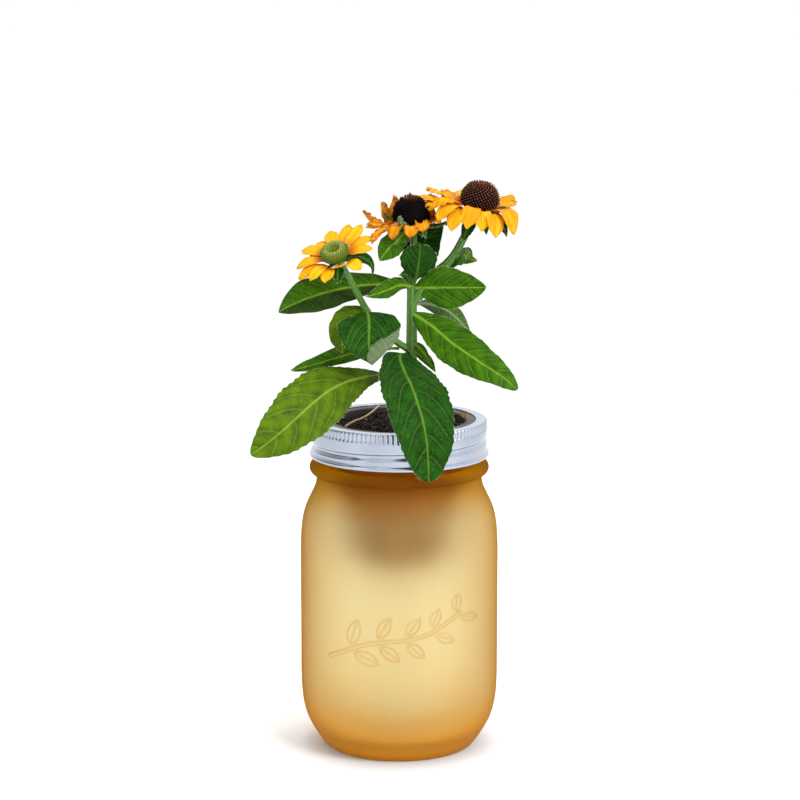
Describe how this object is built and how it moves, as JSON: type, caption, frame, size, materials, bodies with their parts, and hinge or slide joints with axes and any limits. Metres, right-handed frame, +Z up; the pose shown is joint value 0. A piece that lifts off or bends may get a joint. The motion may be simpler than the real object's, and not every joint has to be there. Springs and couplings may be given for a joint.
{
  "type": "jar planter",
  "caption": "Self-watering planter made from a frosted amber wide-mouth jar with a screw band, holding a leafy flowering plant with yellow daisy-like blooms",
  "frame": {"origin": "centre of the jar foot, on the surface it stands on", "axes": "+Z up along the jar axis, -Y towards the front with the raised sprig, +X to the right seen from the front"},
  "size_m": [0.1285, 0.103, 0.2811],
  "materials": {
    "frosted_amber_glass": "satin",
    "plated_band": "satin",
    "brown_cup_plastic": "matte",
    "felt": "matte",
    "peat": "matte",
    "root": "matte",
    "straw": "satin",
    "bark": "matte",
    "green_stem": "satin",
    "leaf": "satin",
    "green_disc": "matte",
    "dark_cone": "matte",
    "brown_cone": "matte",
    "yellow_petal": "satin",
    "withered_petal": "matte"
  },
  "bodies": {
    "jar": {"glass_jar": "frosted_amber_glass"},
    "cup": {"net_cup": "brown_cup_plastic"},
    "band": {"screw_band": "plated_band"},
    "plug": {"bud_shoot": "leaf", "crown_bracts": "leaf", "crown_front_leaf": "leaf", "crown_leaf": "leaf", "dry_straw": "straw", "front_leaf": "leaf", "grey_back_leaf": "leaf", "heart_back_leaf": "leaf", "heart_leaf": "leaf", "left_flower_bracts": "leaf", "left_flower_disc": "green_disc", "left_flower_petals": "yellow_petal", "left_flower_stalk": "green_stem", "left_long_leaf": "leaf", "left_mid_leaf": "leaf", "lower_left_leaf": "leaf", "main_stem": "green_stem", "middle_flower_bracts": "leaf", "middle_flower_cone": "dark_cone", "middle_flower_leaves": "leaf", "middle_flower_petals": "withered_petal", "middle_flower_stalk": "green_stem", "potting_mix": "peat", "right_flower_bracts": "leaf", "right_flower_cone": "brown_cone", "right_flower_petals": "yellow_petal", "right_flower_stalk": "green_stem", "right_leaf": "leaf", "roots": "root", "small_left_leaf": "leaf", "stem_leaflets": "leaf", "upper_right_leaf": "leaf", "wick": "felt", "wood_chip": "bark"}
  },
  "joints": [
    {"name": "cup_rise", "type": "slide", "parent": "jar", "child": "cup", "axis": [0, 0, 1], "range_m": [0, 0.00795]},
    {"name": "band_turn", "type": "hinge", "parent": "cup", "child": "band", "pos_m": [0, 0, 0.155], "axis": [0, 0, 1], "range_deg": [0, 450]},
    {"name": "plug_lift", "type": "slide", "parent": "cup", "child": "plug", "axis": [0, 0, 1], "range_m": [0, 0.16]}
  ],
  "couplings": [
    {"joint": "cup_rise", "follows": "band_turn", "m_per_rad": 0.0010106}
  ]
}
